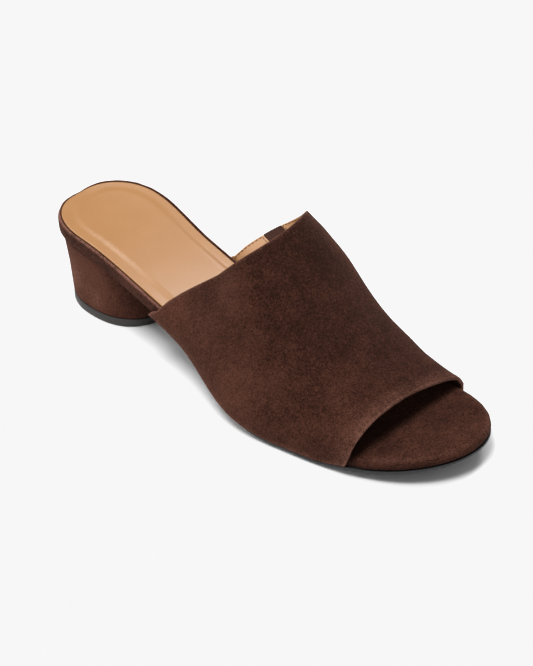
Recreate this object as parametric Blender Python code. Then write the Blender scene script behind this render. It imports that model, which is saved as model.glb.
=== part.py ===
"""Open-toe block-heel mule, right shoe, standing on its heel and tread.

Metres, +Z up. +X runs from heel to toe and +Y to the inner side of the foot.
The origin is the centre of the heel's foot, on the floor.
A share is a place along the insole, from 0 at the back of the heel to 1 at the tip.
"""
import math

import bmesh
import bpy
import numpy as np

# Last
LENGTH = 0.250
BALL_WIDTH = 0.0856
SEAT_HEIGHT = 0.0448
TOE_SPRING = 0.0104
HEEL_ROUND = 0.0333
TOE_ROUND = 0.0403
HEEL_SQUARENESS = 2.34
TOE_SQUARENESS = 2.05

# Insole, sock and outsole
INSOLE_HEEL_THICKNESS = 0.0075
INSOLE_TOE_THICKNESS = 0.0050
INSOLE_EDGE_ROUND = 0.0018
SEAT_DISH = 0.0012
SOCK_THICKNESS = 0.0012
SOCK_MARGIN = 0.0016
SOCK_LENGTH = 0.155
OUTSOLE_THICKNESS = 0.0030
OUTSOLE_EARS = 0.0120
OUTSOLE_WAIST_INSET = 0.0020

# Heel block and its top-piece
HEEL_FOOT_SETBACK = 0.0090
HEEL_FOOT_LENGTH = 0.0554
HEEL_FOOT_WIDTH = 0.0538
HEEL_HEAD_INSET = 0.0020
HEEL_HEAD_REACH = 0.0680
HEEL_OUTLINE_POWER = 2.35
TOP_PIECE_THICKNESS = 0.0045
TOP_PIECE_EDGE_ROUND = 0.0006

# Studs in the heel's inner side
STUD_DIAMETER = 0.0050
STUD_HEIGHT = 0.0014
STUD_DIMPLE_DIAMETER = 0.0022
STUD_DIMPLE_DEPTH = 0.0005
STUD_LEVEL = 0.0260
STUD_SPACING = 0.0198
STUD_BACK_SETBACK = 0.0271

# Upper
UPPER_WALL = 0.0018
INSTEP_RISE = 0.0629
OUTER_SIDE_POWER = 2.46
INNER_SIDE_POWER = 2.32
RIM_PART = 0.08

# Elastic gore in the inner side of the throat
GORE_WIDTH = 0.0105
GORE_DEPTH = 0.0180
GORE_THICKNESS = 0.0012
GORE_MIDDLE = 0.845

# Fit
CLEARANCE = 0.0003

# Mesh fineness
STATIONS = 56
HEEL_STATIONS = 24
HEEL_ROWS = 8
COLUMNS = 6
UPPER_ROWS = 22
UPPER_ARCH_COLUMNS = 34
GORE_ROWS = 4
STUD_SIDES = 20
SHARP_ANGLE = math.radians(38)
STEP = 0.002

HALF_BALL = BALL_WIDTH / 2
HEEL_CENTRE = HEEL_FOOT_SETBACK + HEEL_FOOT_LENGTH / 2
TREAD_LEVEL = OUTSOLE_THICKNESS + CLEARANCE
SEAT_RISE = SEAT_HEIGHT - INSOLE_HEEL_THICKNESS - TREAD_LEVEL
OVER_RIM = UPPER_WALL + CLEARANCE

# share, centre line, half breadth; the last two in half ball widths
OUTLINE = (
    (0.00, 0.000, 0.666),
    (0.13, 0.000, 0.666),
    (0.30, -0.115, 0.624),
    (0.42, -0.137, 0.658),
    (0.58, 0.000, 1.000),
    (0.72, 0.087, 0.989),
    (0.87, 0.127, 0.843),
    (1.00, 0.233, 0.773),
)

# share, part of the seat's rise, part of the toe spring
PROFILE = (
    (0.00, 1.015, 0.00),
    (0.06, 1.003, 0.00),
    (0.16, 0.962, 0.00),
    (0.27, 0.844, 0.00),
    (0.45, 0.525, 0.00),
    (0.62, 0.055, 0.00),
    (0.68, 0.000, 0.00),
    (0.77, 0.000, 0.00),
    (0.85, 0.000, 0.32),
    (1.00, 0.000, 1.00),
)

# share, how far the sole's thickness has gone from heel to toe
THINNING = ((0.00, 0.00), (0.40, 0.20), (0.80, 0.80), (1.00, 1.00))

# share, part of the waist inset, part of the upper's reach over the rim
SOLE_EDGE = (
    (0.00, 1.0, 0.0),
    (0.28, 1.0, 0.0),
    (0.33, 0.0, 0.8),
    (0.84, 0.0, 0.8),
    (0.89, 0.0, 0.1),
    (1.00, 0.0, 0.1),
)

# share; crown's height in instep rises; its offset, outer and inner belly in half ball widths; arch power
SECTIONS = (
    (0.38, 0.813, 0.720, -0.141, 0.262, 2.18),
    (0.52, 1.000, 0.208, -0.105, 0.179, 1.93),
    (0.66, 0.605, -0.082, -0.045, 0.141, 1.52),
    (0.84, 0.277, -0.220, 0.019, 0.095, 1.47),
)

# place across from outer to inner side, share of the throat's edge, share of the toe opening's edge
EDGES = (
    (0.00, 0.333, 0.834),
    (RIM_PART, 0.359, 0.841),
    (0.25, 0.474, 0.850),
    (0.50, 0.537, 0.853),
    (0.75, 0.461, 0.861),
    (1 - RIM_PART, 0.349, 0.862),
    (1.00, 0.321, 0.863),
)

# part of the heel's height, part of the way from foot to head
HEEL_FLARE = ((0.00, 0.00), (0.50, 0.42), (0.85, 0.90), (1.00, 1.00))


def along(table, column, place):
    """Read a column on a smooth curve through the table's rows."""
    xs = [row[0] for row in table]
    ys = [row[column] for row in table]
    slopes = [(b - a) / (d - c) for a, b, c, d in zip(ys, ys[1:], xs, xs[1:])]
    steps = [b - a for a, b in zip(xs, xs[1:])]
    tangents = [
        (slopes[i - 1] * steps[i] + slopes[i] * steps[i - 1]) / (steps[i - 1] + steps[i])
        for i in range(1, len(slopes))
    ]
    first = 1.5 * slopes[0] - 0.5 * tangents[0]
    last = 1.5 * slopes[-1] - 0.5 * tangents[-1]
    tangents = [first, *tangents, last]
    i = min(max(int(np.searchsorted(xs, place)) - 1, 0), len(steps) - 1)
    t = (place - xs[i]) / steps[i]
    rise = ys[i] * (1 + 2 * t) * (1 - t) ** 2 + ys[i + 1] * t * t * (3 - 2 * t)
    bend = steps[i] * (tangents[i] * t * (1 - t) ** 2 - tangents[i + 1] * t * t * (1 - t))
    return rise + bend


def straight(table, column, place):
    """Read a column on straight lines between the table's rows."""
    return float(np.interp(place, [row[0] for row in table], [row[column] for row in table]))


def closing(distance, length, power):
    """Return how far the outline has opened at a distance from its end, from 0 to 1."""
    left = 1 - min(max(distance / length, 0.0), 1.0)
    return (1 - left**power) ** (1 / power)


def edge_y(share, side):
    """Return the insole's edge, side -1 outer and +1 inner."""
    heel_end = closing(share * LENGTH, HEEL_ROUND, HEEL_SQUARENESS)
    toe_end = closing((1 - share) * LENGTH, TOE_ROUND, TOE_SQUARENESS)
    centre = along(OUTLINE, 1, share)
    breadth = along(OUTLINE, 2, share) * heel_end * toe_end
    return HALF_BALL * (centre + side * breadth)


def thickness(share):
    """Return the insole's thickness."""
    thinned = straight(THINNING, 1, share)
    return INSOLE_HEEL_THICKNESS + (INSOLE_TOE_THICKNESS - INSOLE_HEEL_THICKNESS) * thinned


def underside(share):
    """Return the height of the insole's underside."""
    share = min(max(share, 0.0), 1.0)
    heel_part = max(along(PROFILE, 1, share), 0.0)
    toe_part = max(along(PROFILE, 2, share), 0.0)
    return TREAD_LEVEL + SEAT_RISE * heel_part + TOE_SPRING * toe_part


def share_at(x):
    """Return the share of a place in the model's frame."""
    return min(max((x + HEEL_CENTRE) / LENGTH, 0.0), 1.0)


def insole_top(x, y):
    """Return the height of the insole's dished top."""
    share = share_at(x)
    outer, inner = edge_y(share, -1), edge_y(share, 1)
    half = max((inner - outer) / 2, 0.001)
    across = min(abs(y - (inner + outer) / 2) / half, 1.0)
    dish = SEAT_DISH * (1 - straight(THINNING, 1, share)) * (1 - across**2)
    return underside(share) + thickness(share) - dish


def is_square(shares):
    """Say whether the last share cuts the outline square instead of closing it."""
    return edge_y(shares[-1], 1) - edge_y(shares[-1], -1) > CLEARANCE


def outline_ring(shares, inset):
    """Return a closed ring of x, y points, moved inwards by the inset at each share.

    The first share is an end of the outline. The ring goes along the outer side and back along
    the inner. Where the last share isn't an end, the ring crosses there in COLUMNS steps.
    """
    outer = [(share, -1) for share in shares]
    inner = [(share, 1) for share in reversed(shares[1:])]
    square = is_square(shares)
    if not square:
        inner = inner[1:]
    stations = outer + inner
    points = np.array([(share * LENGTH - HEEL_CENTRE, edge_y(share, side)) for share, side in stations])
    turns = np.roll(points, -1, axis=0) - np.roll(points, 1, axis=0)
    last = len(shares) - 1
    if square:
        turns[last] = points[last] - points[last - 1]
        turns[last + 1] = points[last + 2] - points[last + 1]
    normals = np.stack([-turns[:, 1], turns[:, 0]], axis=1)
    normals /= np.linalg.norm(normals, axis=1, keepdims=True)
    inward = -1 if shares[0] > shares[-1] else 1
    insets = np.array([inset(share) for share, side in stations])
    ring = points + inward * insets[:, None] * normals
    if not square:
        return ring
    start, end = ring[last], ring[last + 1]
    crossing = [start + (end - start) * j / COLUMNS for j in range(1, COLUMNS)]
    return np.vstack([ring[: last + 1], crossing, ring[last + 1 :]])


def raised(ring, height):
    """Give each point of a flat ring its height, a function of x and y."""
    return [(x, y, height(x, y)) for x, y in ring]


def cap(vertices, faces, ring, height, columns, square):
    """Close a ring with rows of faces from its outer to its inner side."""
    count = len(ring)
    far = (count - columns) // 2 if square else count // 2
    rows = []
    for i in range(1, far):
        start, end = ring[i], ring[count - i]
        row = [start]
        for j in range(1, columns):
            part = j / columns
            x = vertices[start][0] * (1 - part) + vertices[end][0] * part
            y = vertices[start][1] * (1 - part) + vertices[end][1] * part
            vertices.append((x, y, height(x, y)))
            row.append(len(vertices) - 1)
        rows.append([*row, end])
    if square:
        rows.append(ring[far : far + columns + 1])
    else:
        faces += [(ring[far], rows[-1][j], rows[-1][j + 1]) for j in range(columns)]
    faces += [(ring[0], rows[0][j], rows[0][j + 1]) for j in range(columns)]
    for low, high in zip(rows, rows[1:]):
        faces += [(low[j], low[j + 1], high[j + 1], high[j]) for j in range(columns)]


def material(name, colour, roughness, metallic=0.0):
    """Make a plain material."""
    made = bpy.data.materials.new(name)
    made.use_nodes = True
    shader = made.node_tree.nodes["Principled BSDF"]
    shader.inputs["Base Color"].default_value = (*colour, 1.0)
    shader.inputs["Roughness"].default_value = roughness
    shader.inputs["Metallic"].default_value = metallic
    return made


def solid(name, vertices, faces, finish):
    """Make one object of a closed mesh."""
    mesh = bpy.data.meshes.new(name)
    mesh.from_pydata(vertices, [], faces)
    shape = bmesh.new()
    shape.from_mesh(mesh)
    bmesh.ops.recalc_face_normals(shape, faces=shape.faces)
    shape.to_mesh(mesh)
    shape.free()
    mesh.shade_smooth()
    mesh.set_sharp_from_angle(angle=SHARP_ANGLE)
    mesh.materials.append(finish)
    made = bpy.data.objects.new(name, mesh)
    bpy.context.scene.collection.objects.link(made)
    return made


def loft(name, rings, bottom, top, finish, columns=COLUMNS, square=False):
    """Join rings from bottom to top, and cap both ends."""
    vertices = [point for ring in rings for point in ring]
    count = len(rings[0])
    index = [[row * count + i for i in range(count)] for row in range(len(rings))]
    faces = []
    for low, high in zip(index, index[1:]):
        faces += [(low[i], low[(i + 1) % count], high[(i + 1) % count], high[i]) for i in range(count)]
    cap(vertices, faces, index[0], bottom, columns, square)
    cap(vertices, faces, index[-1], top, columns, square)
    return solid(name, vertices, faces, finish)


def eased(start, end, count):
    """Return places from start to end that crowd together at both ends."""
    return [start + (end - start) * (1 - math.cos(math.pi * i / count)) / 2 for i in range(count + 1)]


def crowded_first(start, end, count):
    """Return places from start to end that crowd together at the start."""
    return [start + (end - start) * (1 - math.cos(math.pi / 2 * i / count)) for i in range(count + 1)]


def make_insole(finish):
    """Covered board, with a soft round along its upper edge."""
    shares = eased(0.0, 1.0, STATIONS)
    edge_round = INSOLE_EDGE_ROUND

    def ring(inset, lift, from_top):
        flat = outline_ring(shares, lambda share: inset)
        if from_top:
            return raised(flat, lambda x, y: insole_top(x, y) - lift)
        return raised(flat, lambda x, y: underside(share_at(x)) + lift)

    rings = [
        ring(edge_round * 0.5, 0.0, False),
        ring(0.0, edge_round * 0.5, False),
        ring(0.0, edge_round, True),
        ring(edge_round * 0.3, edge_round * 0.3, True),
        ring(edge_round, 0.0, True),
    ]
    return loft("insole", rings, lambda x, y: underside(share_at(x)), insole_top, finish)


def make_sock(finish):
    """Leather sock, from the heel to under the upper."""
    shares = crowded_first(0.0, SOCK_LENGTH / LENGTH, STATIONS * 2 // 3)
    flat = outline_ring(shares, lambda share: SOCK_MARGIN)

    def bottom(x, y):
        return insole_top(x, y) + CLEARANCE

    def top(x, y):
        return bottom(x, y) + SOCK_THICKNESS

    return loft("sock_lining", [raised(flat, bottom), raised(flat, top)], bottom, top, finish, square=True)


def make_outsole(finish):
    """Thin sole from the tip to the heel's breast, under the insole and the upper's edge."""
    shares = crowded_first(1.0, (HEEL_HEAD_REACH - OUTSOLE_EARS) / LENGTH, STATIONS)

    def inset(share):
        waist = OUTSOLE_WAIST_INSET * straight(SOLE_EDGE, 1, share)
        return waist - OVER_RIM * straight(SOLE_EDGE, 2, share)

    flat = outline_ring(shares, inset)

    def top(x, y):
        return underside(share_at(x)) - CLEARANCE

    def bottom(x, y):
        return top(x, y) - OUTSOLE_THICKNESS

    sole = loft("outsole", [raised(flat, bottom), raised(flat, top)], bottom, top, finish, square=True)
    breast = heel_ring(1.0, -CLEARANCE)
    reach = [raised(breast, lambda x, y: TREAD_LEVEL), raised(breast, lambda x, y: SEAT_HEIGHT)]
    cutter = loft("breast_cutter", reach, lambda x, y: TREAD_LEVEL, lambda x, y: SEAT_HEIGHT, finish)
    cutter.hide_render = True
    cutter.display_type = "WIRE"
    cut = sole.modifiers.new("breast", "BOOLEAN")
    cut.operation = "DIFFERENCE"
    cut.solver = "EXACT"
    cut.object = cutter
    return sole


def heel_ring(part, inset=0.0):
    """Return the heel's flat outline at a part of its height, from its back down the outer side."""
    head = straight(HEEL_FLARE, 1, part)
    head_width = 2 * HALF_BALL * OUTLINE[1][2] - 2 * HEEL_HEAD_INSET
    back = HEEL_FOOT_SETBACK * (1 - head) + HEEL_HEAD_INSET * head + inset
    front = (HEEL_FOOT_SETBACK + HEEL_FOOT_LENGTH) * (1 - head) + HEEL_HEAD_REACH * head - inset
    half_width = (HEEL_FOOT_WIDTH * (1 - head) + head_width * head) / 2 - inset
    middle = (back + front) / 2 - HEEL_CENTRE
    reach = (front - back) / 2
    points = []
    for i in range(2 * HEEL_STATIONS):
        angle = math.pi * (1 + i / HEEL_STATIONS)
        cosine, sine = math.cos(angle), math.sin(angle)
        x = middle + reach * math.copysign(abs(cosine) ** (2 / HEEL_OUTLINE_POWER), cosine)
        y = half_width * math.copysign(abs(sine) ** (2 / HEEL_OUTLINE_POWER), sine)
        points.append((x, y))
    return points


def make_heel(finish):
    """Covered block, cut on top to the insole's underside."""
    foot = TOP_PIECE_THICKNESS + CLEARANCE

    def head(x, y):
        return underside(share_at(x)) - CLEARANCE

    def level(part):
        return lambda x, y: foot + (head(x, y) - foot) * part

    parts = [i / HEEL_ROWS for i in range(HEEL_ROWS + 1)]
    rings = [raised(heel_ring(part), level(part)) for part in parts]
    return loft("heel", rings, level(0.0), head, finish)


def make_top_piece(finish):
    """Rubber wearing piece under the heel block."""
    edge_round = TOP_PIECE_EDGE_ROUND
    rings = [
        raised(heel_ring(0.0, edge_round), lambda x, y: 0.0),
        raised(heel_ring(0.0), lambda x, y: edge_round),
        raised(heel_ring(0.0), lambda x, y: TOP_PIECE_THICKNESS),
    ]
    return loft("top_piece", rings, lambda x, y: 0.0, lambda x, y: TOP_PIECE_THICKNESS, finish, columns=1)


def heel_side(x):
    """Return the heel's inner side at the studs' level."""
    foot = TOP_PIECE_THICKNESS + CLEARANCE
    part = (STUD_LEVEL - foot) / (underside(share_at(x)) - CLEARANCE - foot)
    side = [(px, py) for px, py in heel_ring(part) if py > 0]
    side.sort()
    return float(np.interp(x, [px for px, py in side], [py for px, py in side]))


def make_stud(name, setback, finish):
    """Round brass stud with a dimple, its face square to the heel's side."""
    x = setback - HEEL_CENTRE
    y = heel_side(x) + CLEARANCE
    reach = STUD_DIAMETER / 2
    slope = (heel_side(x + reach) - heel_side(x - reach)) / STUD_DIAMETER
    turn = math.atan(slope)
    # radius, height above the heel's side
    profile = (
        (reach * 0.80, 0.0),
        (reach, STUD_HEIGHT * 0.45),
        (reach * 0.82, STUD_HEIGHT * 0.88),
        (STUD_DIMPLE_DIAMETER / 2 + reach * 0.08, STUD_HEIGHT),
        (STUD_DIMPLE_DIAMETER / 2, STUD_HEIGHT - STUD_DIMPLE_DEPTH),
    )
    vertices = []
    for radius, height in profile:
        for i in range(STUD_SIDES):
            angle = math.tau * i / STUD_SIDES
            across = radius * math.cos(angle)
            vertices.append(
                (
                    x + across * math.cos(turn) - height * math.sin(turn),
                    y + across * math.sin(turn) + height * math.cos(turn),
                    STUD_LEVEL + radius * math.sin(angle),
                )
            )
    faces = [tuple(range(STUD_SIDES))]
    faces.append(tuple(range((len(profile) - 1) * STUD_SIDES, len(profile) * STUD_SIDES)))
    for row in range(len(profile) - 1):
        low, high = row * STUD_SIDES, (row + 1) * STUD_SIDES
        for i in range(STUD_SIDES):
            after = (i + 1) % STUD_SIDES
            faces.append((low + i, low + after, high + after, high + i))
    return solid(name, vertices, faces, finish)


def upper_face(share, across):
    """Return a point of the upper's outer face, across from 0 on the outer side to 1 on the inner."""
    part = min(max((across - RIM_PART) / (1 - 2 * RIM_PART), 0.0), 1.0)
    angle = math.pi * (1 - part)
    cosine, sine = math.cos(angle), max(math.sin(angle), 0.0)
    side = 1 if cosine > 0 else -1
    power = INNER_SIDE_POWER if side > 0 else OUTER_SIDE_POWER
    lean = side * abs(cosine) ** (2 / power)
    lift = sine ** (2 / along(SECTIONS, 5, share))
    centre = HALF_BALL * along(OUTLINE, 1, share)
    slope = (edge_y(share + STEP, side) - edge_y(share - STEP, side)) / (2 * STEP * LENGTH)
    reach = abs(edge_y(share, side) - centre) + OVER_RIM * math.hypot(1, slope)
    belly = along(SECTIONS, 4 if side > 0 else 3, share) * side
    bulge = HALF_BALL * belly * math.sin(math.pi * lift) ** 2
    y = centre + reach * lean + HALF_BALL * along(SECTIONS, 2, share) * lift + bulge
    up_rim = min(across / RIM_PART, (1 - across) / RIM_PART, 1.0)
    crown = INSTEP_RISE * along(SECTIONS, 1, share) * lift
    z = underside(share) + thickness(share) * up_rim + crown
    return np.array([share * LENGTH - HEEL_CENTRE, y, z])


def upper_point(down, across, depth):
    """Return a point of the upper, down from 0 at the throat to 1 at the toe opening.

    The depth is measured from the outer face into the wall.
    """
    share = along(EDGES, 1, across) * (1 - down) + along(EDGES, 2, across) * down
    before, after = max(across - STEP, 0.0), min(across + STEP, 1.0)
    along_foot = upper_face(share + STEP, across) - upper_face(share - STEP, across)
    over_foot = upper_face(share, after) - upper_face(share, before)
    if across < RIM_PART or across > 1 - RIM_PART:
        over_foot = np.array([0.0, 0.0, 1.0 if across < RIM_PART else -1.0])
    normal = np.cross(along_foot, over_foot)
    normal /= np.linalg.norm(normal)
    return upper_face(share, across) - depth * normal


def shell(name, downs, acrosses, kept, depths, finish):
    """Make a wall over the kept cells of a grid, between two depths."""
    outer_depth, inner_depth = depths
    width = len(acrosses)
    vertices = [tuple(upper_point(down, across, outer_depth)) for down in downs for across in acrosses]
    vertices += [tuple(upper_point(down, across, inner_depth)) for down in downs for across in acrosses]
    under = len(downs) * width
    cells = [(i, j) for i in range(len(downs) - 1) for j in range(width - 1) if kept(i, j)]
    faces = []
    edges = {}
    for i, j in cells:
        corner = i * width + j
        loop = (corner, corner + 1, corner + width + 1, corner + width)
        faces.append(loop)
        faces.append(tuple(under + v for v in reversed(loop)))
        for a, b in zip(loop, loop[1:] + loop[:1]):
            key = (min(a, b), max(a, b))
            edges[key] = None if key in edges else (a, b)
    faces += [(b, a, under + a, under + b) for a, b in (e for e in edges.values() if e)]
    used = sorted({v for face in faces for v in face})
    place = {v: n for n, v in enumerate(used)}
    kept_faces = [tuple(place[v] for v in face) for face in faces]
    return solid(name, [vertices[v] for v in used], kept_faces, finish)


def gore_window():
    """Return the gore's place in the upper's grid: its two sides across, and its depth down."""
    middle = upper_point(0.0, GORE_MIDDLE, 0.0)
    beside = upper_point(0.0, GORE_MIDDLE + STEP, 0.0)
    below = upper_point(STEP, GORE_MIDDLE, 0.0)
    half = STEP * GORE_WIDTH / 2 / np.linalg.norm(beside - middle)
    depth = STEP * GORE_DEPTH / np.linalg.norm(below - middle)
    return GORE_MIDDLE - half, GORE_MIDDLE + half, depth


def make_upper(finish):
    """One lined band over the foot, open at throat and toe, with a notch for the gore."""
    left, right, depth = gore_window()
    pitch = (1 - 2 * RIM_PART) / UPPER_ARCH_COLUMNS
    arch = [RIM_PART + pitch * i for i in range(UPPER_ARCH_COLUMNS + 1)]
    arch = [place for place in arch if min(abs(place - left), abs(place - right)) > pitch / 2]
    acrosses = sorted([0.0, RIM_PART / 2, *arch, left, right, 1 - RIM_PART / 2, 1.0])
    notch_rows = 2
    downs = [depth * i / notch_rows for i in range(notch_rows)]
    downs += [depth + (1 - depth) * i / UPPER_ROWS for i in range(UPPER_ROWS + 1)]
    first, last = acrosses.index(left), acrosses.index(right)

    def kept(i, j):
        return not (i < notch_rows and first <= j < last)

    return shell("upper", downs, acrosses, kept, (0.0, UPPER_WALL), finish)


def make_gore(finish):
    """Elastic panel that fills the notch."""
    left, right, depth = gore_window()
    side_gap = (right - left) * CLEARANCE / GORE_WIDTH
    end_gap = depth * CLEARANCE / GORE_DEPTH
    steps = [i / GORE_ROWS for i in range(GORE_ROWS + 1)]
    acrosses = [left + side_gap + (right - left - 2 * side_gap) * step for step in steps]
    downs = [(depth - end_gap) * step for step in steps]
    sunk = (UPPER_WALL - GORE_THICKNESS) / 2
    depths = (sunk, sunk + GORE_THICKNESS)
    return shell("elastic_gore", downs, acrosses, lambda i, j: True, depths, finish)


for old in list(bpy.data.objects):
    bpy.data.objects.remove(old, do_unlink=True)

suede = material("brown_suede", (0.075, 0.032, 0.021), 0.95)
suede_cover = material("suede_cover", (0.075, 0.032, 0.021), 0.95)
tan_leather = material("tan_leather", (0.60, 0.33, 0.14), 0.45)
black_sole = material("black_sole", (0.012, 0.012, 0.013), 0.6)
grey_rubber = material("grey_rubber", (0.035, 0.036, 0.038), 0.55)
elastic = material("brown_elastic", (0.045, 0.024, 0.018), 0.85)
brass = material("brass", (0.75, 0.56, 0.26), 0.25, 1.0)

make_insole(suede_cover)
make_sock(tan_leather)
make_outsole(black_sole)
make_upper(suede)
make_gore(elastic)
make_heel(suede_cover)
make_top_piece(grey_rubber)
make_stud("stud_back", STUD_BACK_SETBACK, brass)
make_stud("stud_front", STUD_BACK_SETBACK + STUD_SPACING, brass)
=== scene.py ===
import math

import bmesh
import bpy
import numpy as np
from mathutils import Matrix, Vector, noise


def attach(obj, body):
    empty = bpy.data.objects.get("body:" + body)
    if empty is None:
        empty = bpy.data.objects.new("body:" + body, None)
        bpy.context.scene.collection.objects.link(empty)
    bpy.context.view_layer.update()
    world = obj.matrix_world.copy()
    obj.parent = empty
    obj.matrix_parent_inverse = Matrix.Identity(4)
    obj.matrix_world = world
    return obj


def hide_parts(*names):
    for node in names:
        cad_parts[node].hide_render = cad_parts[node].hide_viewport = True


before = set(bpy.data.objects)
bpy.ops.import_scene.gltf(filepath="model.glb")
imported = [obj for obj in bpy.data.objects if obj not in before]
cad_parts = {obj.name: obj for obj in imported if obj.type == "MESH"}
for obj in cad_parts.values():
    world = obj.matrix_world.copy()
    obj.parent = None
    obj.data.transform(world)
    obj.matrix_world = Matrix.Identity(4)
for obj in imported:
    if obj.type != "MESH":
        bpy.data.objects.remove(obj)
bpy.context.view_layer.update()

# Camera. It stands where the photograph was taken from, a good metre off, left of the toe and
# looking down on the outer side. It is turned and zoomed so that the one shoe fills the frame.
VIEW_AZIMUTH = math.radians(40.09)
VIEW_ELEVATION = math.radians(33.71)
VIEW_DISTANCE = 1.070
VIEW_AIM = (0.0883, 0.0, 0.020)
STAND_RIGHT = 0.0379
STAND_UP = 0.0687
FRAME_CENTRE = (0.0905, 0.0020, 0.0200)
LENS_PIXELS = 2240
PHOTO_WIDTH = 533
SENSOR = 36.0

back = Vector((
    math.sin(VIEW_AZIMUTH) * math.cos(VIEW_ELEVATION),
    -math.cos(VIEW_AZIMUTH) * math.cos(VIEW_ELEVATION),
    math.sin(VIEW_ELEVATION),
))
right = Vector((math.cos(VIEW_AZIMUTH), math.sin(VIEW_AZIMUTH), 0.0))
up = back.cross(right)
lens = bpy.data.cameras.new("camera")
lens.sensor_fit = "HORIZONTAL"
lens.sensor_width = SENSOR
lens.lens = SENSOR * LENS_PIXELS / PHOTO_WIDTH
camera = bpy.data.objects.new("camera", lens)
bpy.context.scene.collection.objects.link(camera)
stand = Vector(VIEW_AIM) + right * STAND_RIGHT + up * STAND_UP + back * VIEW_DISTANCE
toward = Vector(FRAME_CENTRE) - stand
turn = toward.to_track_quat("-Z", "Y").to_matrix().to_4x4()
camera.matrix_world = Matrix.Translation(stand) @ turn
bpy.context.scene.camera = camera
view = bpy.context.scene.view_settings
view.view_transform = "Standard"


# Studio. A pale seamless floor under an even pale surround. One softbox hangs overhead, a wide one
# stands low on the left, and three behind draw the sheen on the sock and along its padding.
FLOOR_REACH = 6.0
FLOOR_COLOUR = (0.86, 0.86, 0.86)
SURROUND = 0.40
LIGHT_DISTANCE = 8.0
PAPER_WHITE = 0.93

# name, direction from the shoe, size, watts
SOFTBOXES = (
    ("softbox_top", (0.02, -0.36, 1.00), 2.6, 520),
    ("softbox_left", (-0.80, -0.42, 0.70), 8.0, 278),
    ("softbox_back", (-0.10, 0.64, 0.77), 2.0, 180),
    ("softbox_seat", (-0.50, 0.27, 0.82), 1.8, 110),
    ("softbox_waist", (0.00, 0.22, 0.97), 1.6, 80),
)


class Value:
    """A shader socket that can be used in sums."""

    def __init__(self, finish, socket):
        self.finish = finish
        self.socket = socket

    def sum(self, operation, first, second):
        return self.finish.add("ShaderNodeMath", {"operation": operation}, {0: first, 1: second})

    def __add__(self, other):
        return self.sum("ADD", self, other)

    def __sub__(self, other):
        return self.sum("SUBTRACT", self, other)

    def __rsub__(self, other):
        return self.sum("SUBTRACT", other, self)

    def __mul__(self, other):
        return self.sum("MULTIPLY", self, other)

    __radd__ = __add__
    __rmul__ = __mul__


class Finish:
    """A material under construction: its nodes, and its shader's constant sockets."""

    def __init__(self, name, **constants):
        self.material = bpy.data.materials.new(name)
        self.material.use_nodes = True
        self.tree = self.material.node_tree
        self.shader = self.tree.nodes["Principled BSDF"]
        for socket, value in constants.items():
            self.shader.inputs[socket.replace("_", " ")].default_value = value

    def add(self, kind, settings=None, inputs=None, output=0):
        """Add a node: its settings first, then the values or links of its sockets."""
        node = self.tree.nodes.new(kind)
        for key, value in (settings or {}).items():
            setattr(node, key, value)
        for key, value in (inputs or {}).items():
            if isinstance(value, Value):
                self.tree.links.new(value.socket, node.inputs[key])
            else:
                node.inputs[key].default_value = value
        return Value(self, node.outputs[output])

    def place(self):
        """The place on the piece, in metres."""
        return self.add("ShaderNodeTexCoord", output="Object")

    def cloud(self, place, size, detail=2.0, roughness=0.5):
        """Cloudy noise from 0 to 1 whose patches are about the given size."""
        inputs = {"Vector": place, "Scale": 1.0 / size, "Detail": detail, "Roughness": roughness}
        return self.add("ShaderNodeTexNoise", {}, inputs, output="Fac")

    def cells(self, place, size):
        """Grain like pebbles of the given size: 0 in their middles, towards 1 between them."""
        inputs = {"Vector": place, "Scale": 1.0 / size}
        return self.add("ShaderNodeTexVoronoi", {"feature": "F1"}, inputs, output="Distance")

    def attribute(self, name):
        """A value kept on the piece's own points."""
        return self.add("ShaderNodeAttribute", {"attribute_name": name}, output="Fac")

    def blend(self, mask, low, high):
        """Blend two colours by a mask."""
        pair = {6: as_colour(low), 7: as_colour(high)}
        settings = {"data_type": "RGBA", "clamp_factor": True}
        return self.add("ShaderNodeMix", settings, {0: mask, **pair}, output=2)

    def set(self, socket, value):
        """Link a value that changes over the surface to the shader."""
        self.tree.links.new(value.socket, self.shader.inputs[socket])

    def bump(self, *layers):
        """Stack bumps, each a height from 0 to 1 and what that height measures in metres."""
        normal = None
        for height, metres in layers:
            inputs = {"Height": height, "Distance": metres, "Strength": 1.0}
            if normal:
                inputs["Normal"] = normal
            normal = self.add("ShaderNodeBump", {}, inputs)
        self.set("Normal", normal)


def as_colour(colour):
    return colour if isinstance(colour, Value) else (*colour, 1.0)


def link(piece):
    bpy.context.scene.collection.objects.link(piece)
    return piece


floor_finish = Finish("floor", Base_Color=as_colour(FLOOR_COLOUR), Roughness=1.0,
                      Specular_IOR_Level=0.0)
floor_mesh = bpy.data.meshes.new("floor")
corners = [(x * FLOOR_REACH, y * FLOOR_REACH, 0) for x, y in ((-1, -1), (1, -1), (1, 1), (-1, 1))]
floor_mesh.from_pydata(corners, [], [(0, 1, 2, 3)])
floor_mesh.materials.append(floor_finish.material)
floor = link(bpy.data.objects.new("floor", floor_mesh))

world = bpy.data.worlds.new("surround")
world.use_nodes = True
world.node_tree.nodes["Background"].inputs["Color"].default_value = (1.0, 1.0, 1.0, 1.0)
world.node_tree.nodes["Background"].inputs["Strength"].default_value = SURROUND
bpy.context.scene.world = world

for name, toward, size, watts in SOFTBOXES:
    light = bpy.data.lights.new(name, "AREA")
    light.shape = "SQUARE"
    light.size = size
    light.energy = watts
    lamp = link(bpy.data.objects.new(name, light))
    direction = Vector(toward).normalized()
    lamp.location = Vector(VIEW_AIM) + direction * LIGHT_DISTANCE
    lamp.rotation_euler = direction.to_track_quat("Z", "Y").to_euler()

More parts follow.
